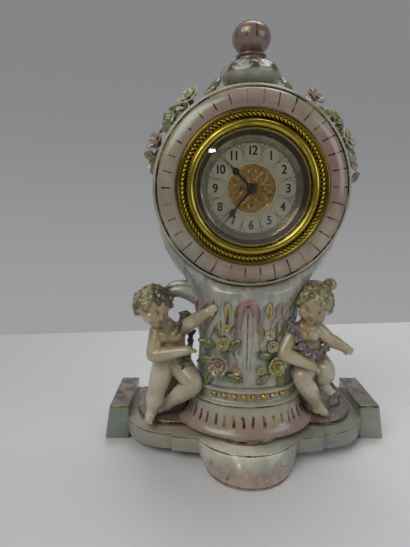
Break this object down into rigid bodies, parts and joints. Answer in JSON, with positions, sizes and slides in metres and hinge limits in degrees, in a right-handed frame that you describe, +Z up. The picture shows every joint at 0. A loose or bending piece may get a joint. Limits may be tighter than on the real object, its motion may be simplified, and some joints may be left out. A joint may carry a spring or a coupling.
{
  "type": "mantel clock",
  "caption": "Porcelain mantel clock: a round drum dial with brass bezel on an oval acanthus column, flanked by two cherubs on a lobed base, with a wind-up drum movement.",
  "frame": {"origin": "middle of the base on the table", "axes": "+Z up, +Y to the back (the dial looks along -Y), +X to the viewer's right"},
  "size_m": [0.188, 0.094, 0.258],
  "materials": {
    "porcelain": "glossy",
    "rose_glaze": "glossy",
    "skin_glaze": "glossy",
    "green_glaze": "glossy",
    "purple_glaze": "glossy",
    "gilding": "metallic lustre",
    "brass": "polished",
    "dial_metal": "satin",
    "gilt_metal": "gilded",
    "blued_steel": "dark",
    "steel": "brushed",
    "glass": "clear"
  },
  "bodies": {
    "case": {"plinth": "porcelain", "rear_foot_left": "porcelain", "rear_foot_right": "porcelain", "terrace": "rose_glaze", "column_foot": "rose_glaze", "gilt_beads": "gilding", "column": "porcelain", "acanthus_leaves": "rose_glaze", "scroll_leaves": "rose_glaze", "drum_case": "porcelain", "finial_bulb": "porcelain", "finial_ball": "rose_glaze", "mounds": "rose_glaze", "drum_flowers_left": "green_glaze", "drum_flowers_right": "green_glaze", "column_flowers_left": "green_glaze", "column_flowers_right": "green_glaze", "boy_torso": "skin_glaze", "boy_head": "skin_glaze", "boy_right_arm": "skin_glaze", "boy_left_arm": "skin_glaze", "boy_right_leg": "skin_glaze", "boy_left_leg": "skin_glaze", "boy_garland": "purple_glaze", "girl_torso": "skin_glaze", "girl_head": "skin_glaze", "girl_right_arm": "skin_glaze", "girl_left_arm": "skin_glaze", "girl_right_leg": "skin_glaze", "girl_left_leg": "skin_glaze", "girl_garland": "purple_glaze", "bezel": "brass", "glass": "glass", "dial": "dial_metal", "gilt_centre": "gilt_metal", "movement_can": "brass", "back_cover": "brass", "case_screws": "steel", "front_plate": "brass", "back_plate": "brass", "mainspring": "steel", "hairspring": "steel", "balance_cock": "brass"},
    "hands": {"centre_arbor": "steel", "set_knob": "brass", "minute_hand": "blued_steel"},
    "hour_pipe": {"hour_wheel": "brass", "hour_hand": "blued_steel"},
    "minute_gear": {"minute_wheel": "brass"},
    "centre_gear": {"centre_wheel": "brass"},
    "third_gear": {"third_wheel": "brass"},
    "fourth_gear": {"fourth_wheel": "brass"},
    "escapement": {"escape_wheel": "brass"},
    "great_gear": {"great_wheel": "brass"},
    "winding_click": {"click": "steel"},
    "winder": {"winding_arbor": "steel", "winding_key": "brass"},
    "pallets": {"pallet_lever": "steel"},
    "balance": {"balance_wheel": "brass"},
    "regulator_arm": {"regulator": "steel"}
  },
  "joints": [
    {"name": "hand_setting", "type": "hinge", "parent": "case", "child": "hands", "pos_m": [0, 0, 0.165], "axis": [0, 1, 0], "continuous": true},
    {"name": "hour_hand_turn", "type": "hinge", "parent": "case", "child": "hour_pipe", "pos_m": [0, -0.01, 0.165], "axis": [0, 1, 0], "continuous": true},
    {"name": "minute_gear_turn", "type": "hinge", "parent": "case", "child": "minute_gear", "pos_m": [-0.0036, -0.009, 0.17123], "axis": [0, 1, 0], "continuous": true},
    {"name": "fourth_gear_turn", "type": "hinge", "parent": "case", "child": "fourth_gear", "pos_m": [0.00025, 0.005, 0.17928], "axis": [0, 1, 0], "continuous": true},
    {"name": "third_gear_turn", "type": "hinge", "parent": "case", "child": "third_gear", "pos_m": [0.01103, 0.001, 0.17426], "axis": [0, 1, 0], "continuous": true},
    {"name": "centre_gear_turn", "type": "hinge", "parent": "case", "child": "centre_gear", "pos_m": [0, 0, 0.165], "axis": [0, 1, 0], "continuous": true},
    {"name": "great_gear_turn", "type": "hinge", "parent": "case", "child": "great_gear", "pos_m": [0, 0.0085, 0.151], "axis": [0, 1, 0], "continuous": true},
    {"name": "escape_turn", "type": "hinge", "parent": "case", "child": "escapement", "pos_m": [-0.00932, 0.009, 0.17672], "axis": [0, 1, 0], "continuous": true},
    {"name": "winding", "type": "hinge", "parent": "case", "child": "winder", "pos_m": [0, 0.01, 0.151], "axis": [0, 1, 0], "continuous": true},
    {"name": "click_lift", "type": "hinge", "parent": "great_gear", "child": "winding_click", "pos_m": [0.00438, 0.0104, 0.15858], "axis": [0, 1, 0], "range_deg": [0, 10]},
    {"name": "pallet_rock", "type": "hinge", "parent": "case", "child": "pallets", "pos_m": [-0.01521, 0.0085, 0.17259], "axis": [0, 1, 0], "range_deg": [-5, 5]},
    {"name": "balance_swing", "type": "hinge", "parent": "case", "child": "balance", "pos_m": [-0.02054, 0.016, 0.16886], "axis": [0, 1, 0], "range_deg": [-150, 150]},
    {"name": "regulator_swing", "type": "hinge", "parent": "case", "child": "regulator_arm", "pos_m": [-0.02054, 0.0215, 0.16886], "axis": [0, 1, 0], "range_deg": [-20, 20]}
  ],
  "couplings": [
    {"joint": "hour_hand_turn", "follows": "hand_setting", "ratio": 0.083333},
    {"joint": "minute_gear_turn", "follows": "hand_setting", "ratio": -0.33333},
    {"joint": "third_gear_turn", "follows": "fourth_gear_turn", "ratio": -0.13333},
    {"joint": "centre_gear_turn", "follows": "fourth_gear_turn", "ratio": 0.016667},
    {"joint": "great_gear_turn", "follows": "fourth_gear_turn", "ratio": -0.0027778},
    {"joint": "escape_turn", "follows": "fourth_gear_turn", "ratio": -10}
  ]
}
